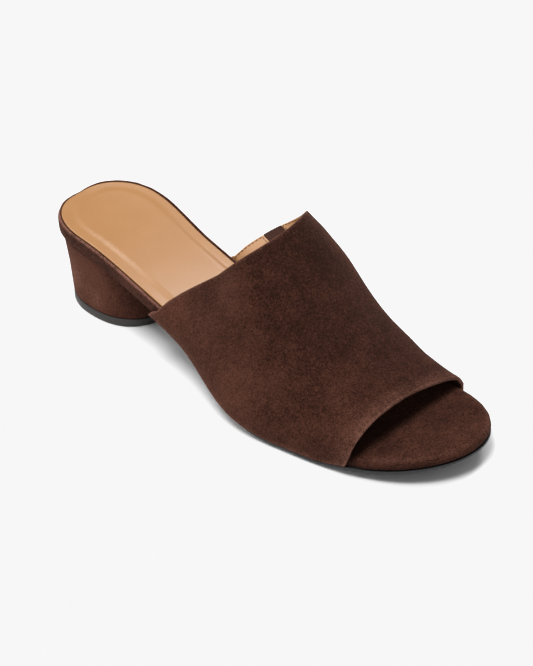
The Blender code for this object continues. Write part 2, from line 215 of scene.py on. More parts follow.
# the bright floor is clipped to one even near-white
view.use_curve_mapping = True
tone_curve = view.curve_mapping.curves[3]
tone_curve.points[-1].location = (PAPER_WHITE, PAPER_WHITE)
tone_curve.points[-1].handle_type = "VECTOR"
tone_curve.points[0].handle_type = "VECTOR"
view.curve_mapping.extend = "HORIZONTAL"
view.curve_mapping.update()


# Footbed. A board with thin padding, wrapped in brown suede. The suede stands up round the sock as
# a narrow, puckered bead, and is drawn over a soft, round edge at the toe.
LENGTH = 0.250
BALL_WIDTH = 0.0856
SEAT_HEIGHT = 0.0448
TOE_SPRING = 0.0104
HEEL_ROUND = 0.0333
TOE_ROUND = 0.0403
HEEL_SQUARENESS = 2.34
TOE_SQUARENESS = 2.05
HEEL_THICKNESS = 0.0075
TOE_THICKNESS = 0.0050
SEAT_DISH = 0.0012
OUTSOLE_THICKNESS = 0.0030
CLEARANCE = 0.0003
HEEL_FOOT_SETBACK = 0.0090
HEEL_FOOT_LENGTH = 0.0554
HALF_BALL = BALL_WIDTH / 2
HEEL_CENTRE = HEEL_FOOT_SETBACK + HEEL_FOOT_LENGTH / 2
TREAD_LEVEL = OUTSOLE_THICKNESS + CLEARANCE
SEAT_RISE = SEAT_HEIGHT - HEEL_THICKNESS - TREAD_LEVEL

# share of the length from heel to toe, centre line, half breadth; the last two in half ball widths
OUTLINE = (
    (0.00, 0.000, 0.666),
    (0.13, 0.000, 0.666),
    (0.30, -0.115, 0.624),
    (0.42, -0.137, 0.658),
    (0.58, 0.000, 1.000),
    (0.72, 0.087, 0.989),
    (0.87, 0.127, 0.843),
    (1.00, 0.233, 0.773),
)

# share, part of the seat's rise, part of the toe spring
PROFILE = (
    (0.00, 1.015, 0.00),
    (0.06, 1.003, 0.00),
    (0.16, 0.962, 0.00),
    (0.27, 0.844, 0.00),
    (0.45, 0.525, 0.00),
    (0.62, 0.055, 0.00),
    (0.68, 0.000, 0.00),
    (0.77, 0.000, 0.00),
    (0.85, 0.000, 0.32),
    (1.00, 0.000, 1.00),
)

# share, how far the thickness has gone from heel to toe
THINNING = ((0.00, 0.00), (0.40, 0.20), (0.80, 0.80), (1.00, 1.00))

# at the heel, then at the toe: distance in from the edge, height above the underside
RIM_UNDER = (
    (0.0040, 0.0000, 0.0040, 0.0000),
    (0.0016, 0.0000, 0.0018, -0.0009),
    (0.0008, 0.0003, 0.0010, -0.0010),
    (0.0003, 0.0009, 0.0004, -0.0006),
    (0.0001, 0.0018, 0.0001, 0.0001),
)

# at the heel, then at the toe: distance in from the edge, height above the top
RIM_OVER = (
    (0.00000, -0.0032, 0.0000, -0.0032),
    (0.00005, -0.0018, 0.0002, -0.0024),
    (0.00018, -0.0006, 0.0007, -0.0017),
    (0.00042, 0.0002, 0.0014, -0.0011),
    (0.00075, 0.0007, 0.0023, -0.0006),
    (0.00110, 0.0008, 0.0034, -0.0003),
    (0.00140, 0.0006, 0.0046, -0.0001),
    (0.00165, 0.0001, 0.0058, 0.0000),
    (0.00200, 0.0000, 0.0070, 0.0000),
    (0.00400, 0.0000, 0.0085, 0.0000),
)
RIM_STATIONS = 260
FOOTBED_COLUMNS = 28
BEAD_END = 0.58
PILLOW_START = 0.80
PUCKER = 0.000286
PUCKER_PITCH = 0.0045
PUCKER_REACH = 0.0018
PUCKERED_SIDE = 0.45
PUCKERED_HEEL = 0.55
PUCKERED_TOE = 0.40
SUEDE_DARK = (0.0148, 0.0054, 0.0033)
SUEDE_LIGHT = (0.083, 0.0312, 0.0202)
# rubbed suede; the same colour paints the highlights on the bead and on the toe's edge
SUEDE_RUB_AND_HIGHLIGHT = (0.181, 0.083, 0.060)
SUEDE_SHEEN = (0.60, 0.30, 0.22)
FOOTBED_NAP = 0.34
NAP_LESS_AT_TOE = 0.03
NAP_LESS_ON_SIDE = 0.14
SIDE_RUB = 0.05

# a lighter line, rubbed suede with a painted highlight on the rounded edge: distance in from the
# edge, half width, strength
BEAD_RUB_AND_HIGHLIGHT = (0.0006, 0.0004, 1.40)
TOE_RUB_AND_HIGHLIGHT = (0.0012, 0.0012, 0.16)


def along(table, column, place):
    """Read a column on a smooth curve through the table's rows."""
    xs = np.array([row[0] for row in table])
    ys = np.array([row[column] for row in table])
    steps = np.diff(xs)
    slopes = np.diff(ys) / steps
    inner = (slopes[:-1] * steps[1:] + slopes[1:] * steps[:-1]) / (steps[:-1] + steps[1:])
    first = 1.5 * slopes[0] - 0.5 * inner[0]
    last = 1.5 * slopes[-1] - 0.5 * inner[-1]
    tangents = np.concatenate([[first], inner, [last]])
    i = np.clip(np.searchsorted(xs, place) - 1, 0, len(steps) - 1)
    t = (place - xs[i]) / steps[i]
    rise = ys[i] * (1 + 2 * t) * (1 - t) ** 2 + ys[i + 1] * t * t * (3 - 2 * t)
    return rise + steps[i] * (tangents[i] * t * (1 - t) ** 2 - tangents[i + 1] * t * t * (1 - t))


def straight(table, column, place):
    """Read a column on straight lines between the table's rows."""
    return np.interp(place, [row[0] for row in table], [row[column] for row in table])


def smooth(start, end, place):
    """Rise softly from 0 at the start to 1 at the end."""
    t = np.clip((place - start) / (end - start), 0.0, 1.0)
    return t * t * (3 - 2 * t)


def fading(distance, reach):
    """Fall softly from 1 at no distance towards 0 past the reach."""
    return np.exp(-((distance / reach) ** 2))


def closing(distance, length, power):
    """Return how far the outline has opened at a distance from its end, from 0 to 1."""
    left = 1 - np.clip(distance / length, 0.0, 1.0)
    return (1 - left**power) ** (1 / power)


def edge_y(share, side):
    """Return the footbed's edge, side -1 outer and +1 inner."""
    ends = closing(share * LENGTH, HEEL_ROUND, HEEL_SQUARENESS)
    ends = ends * closing((1 - share) * LENGTH, TOE_ROUND, TOE_SQUARENESS)
    return HALF_BALL * (along(OUTLINE, 1, share) + side * along(OUTLINE, 2, share) * ends)


def thickness(share):
    """Return the footbed's thickness."""
    return HEEL_THICKNESS + (TOE_THICKNESS - HEEL_THICKNESS) * straight(THINNING, 1, share)


def underside(share):
    """Return the height of the footbed's underside."""
    share = np.clip(share, 0.0, 1.0)
    heel_part = np.maximum(along(PROFILE, 1, share), 0.0)
    toe_part = np.maximum(along(PROFILE, 2, share), 0.0)
    return TREAD_LEVEL + SEAT_RISE * heel_part + TOE_SPRING * toe_part


def share_at(x):
    """Return the share of the length at a place in the frame."""
    return np.clip((x + HEEL_CENTRE) / LENGTH, 0.0, 1.0)


def footbed_under(x, y):
    """Return the height of the footbed's underside at a place in the frame."""
    return underside(share_at(x))


def footbed_top(x, y):
    """Return the height of the footbed's dished top."""
    share = share_at(x)
    outer, inner = edge_y(share, -1), edge_y(share, 1)
    half = np.maximum((inner - outer) / 2, 0.001)
    across = np.minimum(np.abs(y - (inner + outer) / 2) / half, 1.0)
    dish = SEAT_DISH * (1 - straight(THINNING, 1, share)) * (1 - across**2)
    return underside(share) + thickness(share) - dish


def eased(start, end, count):
    """Return places from start to end that crowd together at both ends."""
    return start + (end - start) * (1 - np.cos(np.pi * np.arange(count + 1) / count)) / 2


def outline(shares):
    """Return the footbed's edge as a ring of places, with their inward normals.

    The first share is an end of the outline. The ring goes along the outer side and back along the
    inner. Where the last share is no end, the ring has its two corners there.
    """
    outer = np.stack([shares * LENGTH - HEEL_CENTRE, edge_y(shares, -1)], axis=1)
    inner = np.stack([shares * LENGTH - HEEL_CENTRE, edge_y(shares, 1)], axis=1)[::-1]
    square = inner[0, 1] - outer[-1, 1] > CLEARANCE
    ring = np.concatenate([outer, inner[:-1] if square else inner[1:-1]])
    turns = np.roll(ring, -1, axis=0) - np.roll(ring, 1, axis=0)
    if square:
        corner = len(shares) - 1
        turns[corner] = ring[corner] - ring[corner - 1]
        turns[corner + 1] = ring[corner + 2] - ring[corner + 1]
    normals = np.stack([-turns[:, 1], turns[:, 0]], axis=1)
    normals /= np.linalg.norm(normals, axis=1, keepdims=True)
    return ring, normals if shares[0] < shares[-1] else -normals


def raised(ring, height):
    """Give each point of a flat ring its height."""
    return np.column_stack([ring, height(ring[:, 0], ring[:, 1])])


def cap(ring, first, total, height, columns, square):
    """Close a ring with rows from its outer to its inner side; return what that adds."""
    count = len(ring)
    far = (count - columns) // 2 if square else count // 2
    places = (1 - np.cos(np.pi * np.arange(1, columns) / columns)) / 2
    start, end = ring[1:far, :2], ring[count - 1 : count - far : -1, :2]
    flat = (start[:, None] + (end - start)[:, None] * places[None, :, None]).reshape(-1, 2)
    rows = []
    for i in range(1, far):
        inside = [total + (i - 1) * (columns - 1) + j for j in range(columns - 1)]
        rows.append([first + i, *inside, first + count - i])
    faces = [(first, rows[0][j], rows[0][j + 1]) for j in range(columns)]
    if square:
        rows.append([first + far + j for j in range(columns + 1)])
    else:
        faces += [(first + far, rows[-1][j], rows[-1][j + 1]) for j in range(columns)]
    for low, high in zip(rows, rows[1:]):
        faces += [(low[j], low[j + 1], high[j + 1], high[j]) for j in range(columns)]
    return raised(flat, height), faces


def between(rings, count):
    """Return the faces between rings of so many points."""
    faces = []
    for low in range(0, (rings - 1) * count, count):
        for i in range(count):
            after = (i + 1) % count
            faces.append((low + i, low + after, low + count + after, low + count + i))
    return faces


def loft(rings, bottom, top, columns, square=False):
    """Join rings from bottom to top and cap both ends."""
    count = len(rings[0])
    points = np.concatenate(rings)
    faces = between(len(rings), count)
    for ring, first, height in ((rings[0], 0, bottom), (rings[-1], len(points) - count, top)):
        added, made = cap(ring, first, len(points), height, columns, square)
        points = np.concatenate([points, added])
        faces += made
    return points, faces


def solid(name, vertices, faces, finish, sharp=None):
    """Make a piece of a closed mesh, its faces pointing out."""
    mesh = bpy.data.meshes.new(name)
    mesh.from_pydata([tuple(v) for v in vertices], [], faces)
    shape = bmesh.new()
    shape.from_mesh(mesh)
    bmesh.ops.recalc_face_normals(shape, faces=shape.faces)
    shape.to_mesh(mesh)
    shape.free()
    mesh.shade_smooth()
    if sharp:
        mesh.set_sharp_from_angle(angle=math.radians(sharp))
    mesh.materials.append(finish.material)
    return link(bpy.data.objects.new(name, mesh))


def points_of(piece):
    """Return the piece's points as an array."""
    flat = np.empty(len(piece.data.vertices) * 3, np.float32)
    piece.data.vertices.foreach_get("co", flat)
    return flat.reshape(-1, 3).astype(float)


def distance_to(spots, path):
    """Return how far each point is from a path of straight steps."""
    nearest = np.full(len(spots), np.inf)
    for start, end in zip(path, path[1:]):
        run = end - start
        part = np.clip((spots - start) @ run / (run @ run), 0.0, 1.0)
        nearest = np.minimum(nearest, np.linalg.norm(spots - start - part[:, None] * run, axis=1))
    return nearest


def closed(ring):
    """Return the path that goes once round a ring."""
    return np.concatenate([ring, ring[:1]])


def mark(piece, name, values):
    """Keep a value on each of the piece's points, for its finish to read."""
    layer = piece.data.attributes.new(name, "FLOAT", "POINT")
    layer.data.foreach_set("value", np.clip(values, 0.0, 1.0).astype(np.float32))


def fitted(piece, slot, *nodes):
    """Put a finished piece in the shoe, in place of the nodes that it stands for."""
    if nodes:
        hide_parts(*nodes)
    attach(piece, "root")


def suede(name, dark, light, rubbed_and_highlight):
    """Brushed suede in patches of nap; marks lighten it where the nap is brushed up and where light
    is painted, darken it where shade is painted, and lighten it further at rubbed edges and painted
    highlights.
    """
    made = Finish(name, Roughness=1.0, Specular_IOR_Level=0.05, Sheen_Weight=0.08,
                  Sheen_Roughness=0.45, Sheen_Tint=as_colour(SUEDE_SHEEN))
    place = made.place()
    clouds = made.cloud(place, 0.018, 3.0, 0.55)
    patches = made.cloud(place, 0.0040, 3.0, 0.60)
    tufts = made.cloud(place, 0.0011, 3.0, 0.70)
    fibres = made.cloud(place, 0.00042, 2.0, 0.70)
    mottle = (
        (clouds - 0.5) * 0.8 + (patches - 0.5) * 0.5 + (tufts - 0.5) * 1.6 + (fibres - 0.5) * 2.1
    )
    nap = mottle + made.attribute("nap_and_shading") * 0.9 + 0.03
    body = made.blend(nap, dark, light)
    wear_and_highlight = made.attribute("rubbed_and_highlight") * (mottle * 1.6 + 0.8)
    made.set("Base Color", made.blend(wear_and_highlight, body, rubbed_and_highlight))
    made.bump((patches, 0.00018), (tufts, 0.00026), (fibres, 0.00014))
    return made


brown_suede = suede("brown_suede", SUEDE_DARK, SUEDE_LIGHT, SUEDE_RUB_AND_HIGHLIGHT)

rim, inward = outline(eased(0.0, 1.0, RIM_STATIONS))
rim_share = share_at(rim[:, 0])
at_ends = PUCKERED_HEEL * (1 - smooth(0.02, 0.16, rim_share))
at_ends += PUCKERED_TOE * smooth(0.86, 0.97, rim_share)
waves = [noise.noise(Vector((*place, 0.0)) / PUCKER_PITCH) for place in rim]
pucker = PUCKER * (PUCKERED_SIDE + at_ends) * np.array(waves)
at_toe = smooth(BEAD_END, PILLOW_START, rim_share)
rings = []
for table, level in ((RIM_UNDER, footbed_under), (RIM_OVER, footbed_top)):
    for inset_heel, rise_heel, inset_toe, rise_toe in table:
        inset = inset_heel + (inset_toe - inset_heel) * at_toe
        flat = rim + inward * (inset + pucker * (inset < PUCKER_REACH))[:, None]
        ring = raised(flat, level)
        ring[:, 2] += rise_heel + (rise_toe - rise_heel) * at_toe
        rings.append(ring)
footbed_shape = loft(rings, footbed_under, footbed_top, FOOTBED_COLUMNS)
footbed = solid("footbed_cover", *footbed_shape, brown_suede)
spots = points_of(footbed)
from_edge = distance_to(spots[:, :2], closed(rim))
spot_share = share_at(spots[:, 0])
above = spots[:, 2] - footbed_under(spots[:, 0], 0)
up_rim = smooth(0.0015, 0.0050, above)
on_bead = up_rim * (1 - smooth(BEAD_END, PILLOW_START, spot_share))
on_toe = up_rim * smooth(PILLOW_START, 0.90, spot_share)
on_crest = smooth(-0.0009, 0.0003, spots[:, 2] - footbed_top(spots[:, 0], spots[:, 1]))
# The bead's crest and the toe's rounded edge get a lighter line: rubbed suede, and a painted
# highlight where the edge would catch the light.
rub_and_highlight = SIDE_RUB * up_rim * (1 - on_toe)
for (inset, half_width, strength), where in ((BEAD_RUB_AND_HIGHLIGHT, on_crest * on_bead), (TOE_RUB_AND_HIGHLIGHT, on_toe)):
    rub_and_highlight += strength * fading(from_edge - inset, half_width) * where
mark(footbed, "rubbed_and_highlight", rub_and_highlight)
# Under the upper the nap marks go to nothing, a painted shade where the band covers the footbed.
# They also fall off towards the underside, a painted shade line along the footbed's bottom edge.
shaded_under_upper = smooth(0.36, 0.40, spot_share) * (1 - smooth(0.835, 0.865, spot_share))
on_side = up_rim * (1 - smooth(0.0003, 0.0010, from_edge)) * (1 - on_toe)
nap = FOOTBED_NAP - NAP_LESS_AT_TOE * on_toe - NAP_LESS_ON_SIDE * on_side
mark(footbed, "nap_and_shading", nap * (1 - shaded_under_upper) * smooth(0.0002, 0.0020, above))
fitted(footbed, "suede", "insole")


# Sock. Tan leather over thin padding, cut just short of the footbed's edge and glued down. The
# padding stops some millimetres inside the edge, which leaves a soft step there. The sock ends
# under the upper.
SOCK_MARGIN = 0.0018
SOCK_INNER_MARGIN = 0.0007
SOCK_THICKNESS = 0.0009
SOCK_LENGTH = 0.155
PAD_INSET = 0.0064
PAD_FLANK = 0.0042
PAD_HEIGHT = 0.00080
SOCK_STATIONS = 110
SOCK_COLUMNS = 56
TAN = (0.334, 0.151, 0.0378)
TAN_DEEP = (0.282, 0.117, 0.0232)
WAIST_SHARE = 0.20

# distance in from the sock's edge, part of its thickness
SOCK_SIDE = ((0.0, 0.0), (0.0, 0.60), (0.00012, 0.85), (0.00035, 0.97), (0.0007, 1.0))


def crowded_first(start, end, count):
    """Return places from start to end that crowd together at the start."""
    return start + (end - start) * (1 - np.cos(np.pi / 2 * np.arange(count + 1) / count))


def squared(ring, corner, columns):
    """Put the points of a square end between the ring's two corners."""
    start, end = ring[corner], ring[corner + 1]
    steps = np.arange(1, columns)[:, None] / columns
    return np.concatenate([ring[: corner + 1], start + (end - start) * steps, ring[corner + 1 :]])


def leather(name, colour, deep, roughness, grain):
    """Smooth full-grain leather: fine pebbles, pale and deep clouds, and a soft waxed sheen."""
    made = Finish(name, Specular_IOR_Level=0.55, Coat_Weight=0.50, Coat_Roughness=0.30)
    place = made.place()
    clouds = made.cloud(place, 0.020, 3.0, 0.55)
    pebbles = made.cells(place, grain)
    pores = made.cloud(place, grain * 0.6, 2.0, 0.6)
    tone = clouds * 0.9 + pores * 0.25 - 0.10
    made.set("Base Color", made.blend(tone, deep, colour))
    made.set("Roughness", clouds * 0.12 + pores * 0.10 + (roughness - 0.11))
    made.bump((pebbles, 0.00004), (pores, 0.00003), (clouds, 0.00020))
    return made


def sock_top(x, y):
    """Return the height of the sock's face, with the step up to its padding."""
    inside = distance_to(np.column_stack([x, y]), closed(rim))
    strength = 0.45 + 0.55 * smooth(0.4 * WAIST_SHARE, 1.4 * WAIST_SHARE, share_at(x))
    pad = strength * PAD_HEIGHT * smooth(PAD_INSET, PAD_INSET + PAD_FLANK, inside)
    return footbed_top(x, y) + CLEARANCE + SOCK_THICKNESS + pad


def sock_under(x, y):
    return footbed_top(x, y) + CLEARANCE


tan_leather = leather("tan_leather", TAN, TAN_DEEP, roughness=0.38, grain=0.0009)
sock_shares = crowded_first(0.0, SOCK_LENGTH / LENGTH, SOCK_STATIONS)
edge, inward = outline(sock_shares)
margin = SOCK_MARGIN + SOCK_INNER_MARGIN * smooth(0.004, 0.024, edge[:, 1])
rings = []
for inset, part in SOCK_SIDE:
    flat = squared(edge + inward * (margin + inset)[:, None], SOCK_STATIONS, SOCK_COLUMNS)
    rings.append(raised(flat, lambda x, y: sock_under(x, y) * (1 - part) + sock_top(x, y) * part))
sock = solid("sock", *loft(rings, sock_under, sock_top, SOCK_COLUMNS, square=True), tan_leather)
fitted(sock, "tan_leather", "sock_lining")


# Outsole. Thin black rubber, cemented under the footbed and the upper's feather edge from the tip
# to the heel's breast. Its side is smooth; its tread has a fine pebbled field in a plain margin.
OUTSOLE_EARS = 0.0120
OUTSOLE_STATIONS = 130
OUTSOLE_COLUMNS = 24
TREAD_MARGIN = 0.0045
SOLE_SIDE = 0.0011
SOLE_CORNER = 0.0002
LEDGE_START = 0.0022
LEDGE_END = 0.0034
BEVEL_RUN = 1.6
SOLE_BLACK = (0.0058, 0.0058, 0.0065)
SOLE_DUSTY = (0.0160, 0.0160, 0.0177)
CUTTER_POINTS = 120
HEEL_FOOT_WIDTH = 0.0538
HEEL_HEAD_INSET = 0.0020
HEEL_HEAD_REACH = 0.0680
HEEL_OUTLINE_POWER = 2.35

# share, distance in from the footbed's edge on the outer and on the inner side, top edge's drop
SOLE_TRIM = (
    (0.00, 0.0046, 0.0046, 0.0000),
    (0.33, 0.0046, 0.0046, 0.0000),
    (0.46, 0.0040, 0.0030, 0.0000),
    (0.56, 0.0016, 0.0010, 0.0000),
    (0.63, -0.0013, -0.0013, 0.0000),
    (0.83, -0.0016, -0.0016, 0.0000),
    (0.87, -0.0002, -0.0002, 0.0011),
    (1.00, -0.0002, -0.0002, 0.0011),
)

# the bevel's curve: part of its run, part of its rise
BEVEL_CURVE = ((1.00, 0.00), (0.55, 0.36), (0.22, 0.68), (0.04, 0.92))

# part of the heel's height, part of the way from foot to head
HEEL_FLARE = ((0.00, 0.00), (0.50, 0.42), (0.85, 0.90), (1.00, 1.00))


def heel_ring(part, inset, angles):
    """Return the heel's flat outline at a part of its height; angle 0 is at its breast."""
    head = straight(HEEL_FLARE, 1, part)
    head_width = BALL_WIDTH * OUTLINE[1][2] - 2 * HEEL_HEAD_INSET
    back_end = HEEL_FOOT_SETBACK * (1 - head) + HEEL_HEAD_INSET * head + inset
    breast = (HEEL_FOOT_SETBACK + HEEL_FOOT_LENGTH) * (1 - head) + HEEL_HEAD_REACH * head - inset
    half_width = (HEEL_FOOT_WIDTH * (1 - head) + head_width * head) / 2 - inset
    middle = (back_end + breast) / 2 - HEEL_CENTRE
    cosine, sine = np.cos(angles), np.sin(angles)
    x = np.sign(cosine) * np.abs(cosine) ** (2 / HEEL_OUTLINE_POWER) * (breast - back_end) / 2
    y = np.sign(sine) * np.abs(sine) ** (2 / HEEL_OUTLINE_POWER) * half_width
    return np.column_stack([middle + x, y])


def at_level(level):
    """Return the height of a level face."""
    return lambda x, y: level + 0 * x


def baked(piece):
    """Turn a piece with modifiers into a plain mesh."""
    graph = bpy.context.evaluated_depsgraph_get()
    mesh = bpy.data.meshes.new_from_object(piece.evaluated_get(graph))
    piece.modifiers.clear()
    piece.data = mesh
    return piece


def outsole_top(x, y):
    return footbed_under(x, y) - CLEARANCE


def outsole_under(x, y):
    return outsole_top(x, y) - OUTSOLE_THICKNESS


def rubber(name, dark, light, roughness, pebble, relief):
    """Moulded rubber: nearly even in colour, dusty in places, with a pebbled field where marked."""
    made = Finish(name, Specular_IOR_Level=0.35)
    place = made.place()
    dust = made.cloud(place, 0.009, 4.0, 0.6)
    specks = made.cloud(place, 0.0007, 2.0, 0.6)
    made.set("Base Color", made.blend(dust * 0.8 + specks * 0.3 - 0.05, dark, light))
    made.set("Roughness", dust * 0.14 + (roughness - 0.07))
    field = made.cells(place, pebble) * made.attribute("field")
    made.bump((field, relief), (specks, 0.00003))
    return made


black_rubber = rubber("black_rubber", SOLE_BLACK, SOLE_DUSTY, roughness=0.58, pebble=0.0011,
                      relief=0.00035)
shares = crowded_first(1.0, (HEEL_HEAD_REACH - OUTSOLE_EARS) / LENGTH, OUTSOLE_STATIONS)
edge, inward = outline(shares)
edge_share = share_at(edge[:, 0])
trim = np.where(edge[:, 1] < HALF_BALL * along(OUTLINE, 1, edge_share),
                straight(SOLE_TRIM, 1, edge_share), straight(SOLE_TRIM, 2, edge_share))
drop = straight(SOLE_TRIM, 3, edge_share)
bevel = OUTSOLE_THICKNESS - SOLE_SIDE - drop
top_edge = OUTSOLE_THICKNESS - drop
sections = [(bevel * BEVEL_RUN * run, bevel * rise) for run, rise in BEVEL_CURVE]
sections += [(0.0, bevel + SOLE_CORNER / 2), (0.0, top_edge - SOLE_CORNER), (SOLE_CORNER, top_edge)]
sections += [(LEDGE_START, top_edge), (LEDGE_END, top_edge + drop)]
rings = []
for inset, level in sections:
    flat = edge + inward * (trim + inset)[:, None]
    ring = squared(np.column_stack([flat, level]), OUTSOLE_STATIONS, OUTSOLE_COLUMNS)
    ring[:, 2] += outsole_under(ring[:, 0], ring[:, 1])
    rings.append(ring)
sole_shape = loft(rings, outsole_under, outsole_top, OUTSOLE_COLUMNS, square=True)
outsole = solid("outsole_rubber", *sole_shape, black_rubber, sharp=40)
circle = np.linspace(0, math.tau, CUTTER_POINTS, endpoint=False)
breast = heel_ring(1.0, -CLEARANCE, circle)
cutter_ends = at_level(TREAD_LEVEL), at_level(SEAT_HEIGHT)
cutter_shape = loft([raised(breast, height) for height in cutter_ends], *cutter_ends, 4)
cutter = solid("breast_cutter", *cutter_shape, black_rubber)
cut = outsole.modifiers.new("breast", "BOOLEAN")
cut.operation = "DIFFERENCE"
cut.solver = "EXACT"
cut.object = cutter
baked(outsole)
bpy.data.objects.remove(cutter)
outsole.data.shade_smooth()
outsole.data.set_sharp_from_angle(angle=math.radians(40))
spots = points_of(outsole)
below = spots[:, 2] < outsole_under(spots[:, 0], 0) + 0.0003
in_field = smooth(TREAD_MARGIN, TREAD_MARGIN + 0.0008, distance_to(spots[:, :2], closed(edge)))
mark(outsole, "field", in_field * below)
fitted(outsole, "sole", "outsole")


# Heel. A light block with the same suede stretched round it and butted at the breast, its edges
# turned in at the seat and the foot. The back of its outer side is painted lighter, a painted
# light, and a band just under the rim is painted darker, a painted shade.
HEEL_ANGLES = 180
HEEL_ROWS = 44
HEEL_EDGE_ROUND = 0.0010
TOP_PIECE_THICKNESS = 0.0045
SEAM_DEPTH = 0.00040
SEAM_HALF_WIDTH = 0.00045
SEAM_POINTS = (0.0002, 0.00045, 0.0008, 0.0013)
HEEL_NAP = 0.28
# painted light: the back of the outer side is lighter, as where the lamps fall on it
HEEL_OUTER_PAINTED_LIGHT = 0.60

# place towards the toe, place across, height, radius, strength
HEEL_BRUSHED = (
    (-0.014, -0.026, 0.017, 0.008, 0.30),
    (0.002, -0.028, 0.012, 0.0045, 0.34),
    (-0.022, -0.020, 0.022, 0.005, 0.22),
)


def heel_head(x, y):
    return footbed_under(x, y) - CLEARANCE


heel_foot = at_level(TOP_PIECE_THICKNESS + CLEARANCE)
near_seam = [(y / (HEEL_FOOT_WIDTH / 2)) ** (HEEL_OUTLINE_POWER / 2) for y in SEAM_POINTS]
full_turn = np.linspace(math.pi, 3 * math.pi, HEEL_ANGLES, endpoint=False)
around = full_turn[np.abs(full_turn - math.tau) > near_seam[-1] * 1.3]
beside_seam = [math.tau + side * a for a in near_seam for side in (1, -1)]
around = np.sort([*around, math.tau, *beside_seam])
rings = []
for part in eased(0.0, 1.0, HEEL_ROWS):
    level = (SEAT_RISE + TREAD_LEVEL - TOP_PIECE_THICKNESS) * min(part, 1 - part)
    open_part = min(level / HEEL_EDGE_ROUND, 1.0)
    inset = HEEL_EDGE_ROUND * (1 - math.sqrt(1 - (1 - open_part) ** 2))
    flat = heel_ring(part, inset, around)
    front = flat[:, 0] > flat[:, 0].mean()
    flat[:, 0] -= SEAM_DEPTH * fading(flat[:, 1], SEAM_HALF_WIDTH) * front
    rings.append(raised(flat, lambda x, y: heel_foot(x, y) * (1 - part) + heel_head(x, y) * part))
heel = solid("heel_cover", *loft(rings, heel_foot, heel_head, 6), brown_suede)
spots = points_of(heel)
rub_and_highlight = 0.0 * spots[:, 0]
for x, y, z, radius, strength in HEEL_BRUSHED:
    rub_and_highlight += strength * fading(np.linalg.norm(spots - (x, y, z), axis=1), radius)
mark(heel, "rubbed_and_highlight", rub_and_highlight)
# The back of the outer side is painted lighter, a painted light, and the suede just under the rim's
# overhang is painted darker, a painted shade.
lit_outer_side = smooth(0.010, -0.026, spots[:, 1]) * smooth(0.030, 0.002, spots[:, 0])
clear_of_rim_shade = smooth(0.0003, 0.0024, heel_head(spots[:, 0], 0) - spots[:, 2])
mark(heel, "nap_and_shading", (HEEL_NAP + HEEL_OUTER_PAINTED_LIGHT * lit_outer_side) * clear_of_rim_shade)
fitted(heel, "suede", "heel")


# Top-piece. The grey rubber wearing piece under the heel, nailed and cemented on, its side buffed
# smooth and its edges broken.
TOP_PIECE_COLUMNS = 24
TOP_PIECE_GREY = (0.020, 0.0172, 0.0160)
TOP_PIECE_DUSTY = (0.041, 0.0360, 0.0340)

# distance in from its side, height
TOP_PIECE_SIDE = (
    (0.0008, 0.0),
    (0.00025, 0.0002),
    (0.0, 0.0007),
    (0.0, 0.0024),
    (0.0, TOP_PIECE_THICKNESS - 0.0005),
    (0.0002, TOP_PIECE_THICKNESS - 0.0001),
    (0.0005, TOP_PIECE_THICKNESS),
)

grey_rubber = rubber("grey_rubber", TOP_PIECE_GREY, TOP_PIECE_DUSTY, roughness=0.50, pebble=0.0012,
                     relief=0.00030)
rings = []
for inset, level in TOP_PIECE_SIDE:
    rings.append(raised(heel_ring(0.0, inset, full_turn), at_level(level)))
tip_shape = loft(rings, at_level(0.0), at_level(TOP_PIECE_THICKNESS), TOP_PIECE_COLUMNS)
heel_tip = solid("heel_tip", *tip_shape, grey_rubber, sharp=60)
spots = points_of(heel_tip)
from_side = distance_to(spots[:, :2], closed(heel_ring(0.0, 0.0, circle)))
mark(heel_tip, "field", smooth(0.003, 0.004, from_side) * (spots[:, 2] < 0.0001))
fitted(heel_tip, "top_piece", "top_piece")


# Upper. One band of brown suede, lined with leather, its edges at throat and toe turned in and
# glued. It goes down over the footbed's rim and is lasted in between footbed and outsole.
UPPER_WALL = 0.0018
OVER_RIM = UPPER_WALL + CLEARANCE
INSTEP_RISE = 0.0629
OUTER_SIDE_POWER = 2.46
INNER_SIDE_POWER = 2.32
RIM_PART = 0.08
STEP = 0.002
SMOOTH_STEP = 0.045
SUEDE_LAYER = 0.00112
LINING_LAYER = 0.00042
FOLD_ROUND = 0.00055
HEM_ROWS = (0.0010, 0.0014, 0.0020, 0.0028)
HEM_DEPTH = 0.00134
TOE_HEM = 0.0200
FOLD_SWELL = 0.00016
FOLD_WIDTH = 0.0050
GORE_WIDTH = 0.0105
GORE_DEPTH = 0.0180
GORE_MIDDLE = 0.845
UPPER_COLUMNS = 150
CROWDED = 3
UPPER_ROWS = 84
NOTCH_ROWS = 12
WAVER = 0.00016
WAVER_SIZE = 0.022
FOLD_RUB = 0.95
FEATHER_RUB = 0.40
UPPER_NAP = 0.165
# painted light: the outer side is lighter where the lamps fall and the inner side with a painted
# sheen, so the crown stays darker
OUTER_PAINTED_LIGHT = 0.33
INNER_PAINTED_LIGHT = 0.22
LINING_TAN = (0.440, 0.228, 0.092)
LINING_DEEP = (0.345, 0.160, 0.059)

# share; crown's height in instep rises; its offset, outer and inner belly in half ball widths;
# arch power
SECTIONS = (
    (0.38, 0.813, 0.720, -0.141, 0.262, 2.18),
    (0.52, 1.000, 0.208, -0.105, 0.179, 1.93),
    (0.66, 0.605, -0.082, -0.045, 0.141, 1.52),
    (0.84, 0.277, -0.220, 0.019, 0.095, 1.47),
)

# place across from outer to inner side, share of the throat's edge, share of the toe opening's edge
EDGES = (
    (0.00, 0.333, 0.834),
    (RIM_PART, 0.359, 0.841),
    (0.25, 0.474, 0.850),
    (0.50, 0.537, 0.853),
    (0.75, 0.461, 0.861),
    (1 - RIM_PART, 0.349, 0.862),
    (1.00, 0.321, 0.863),
)

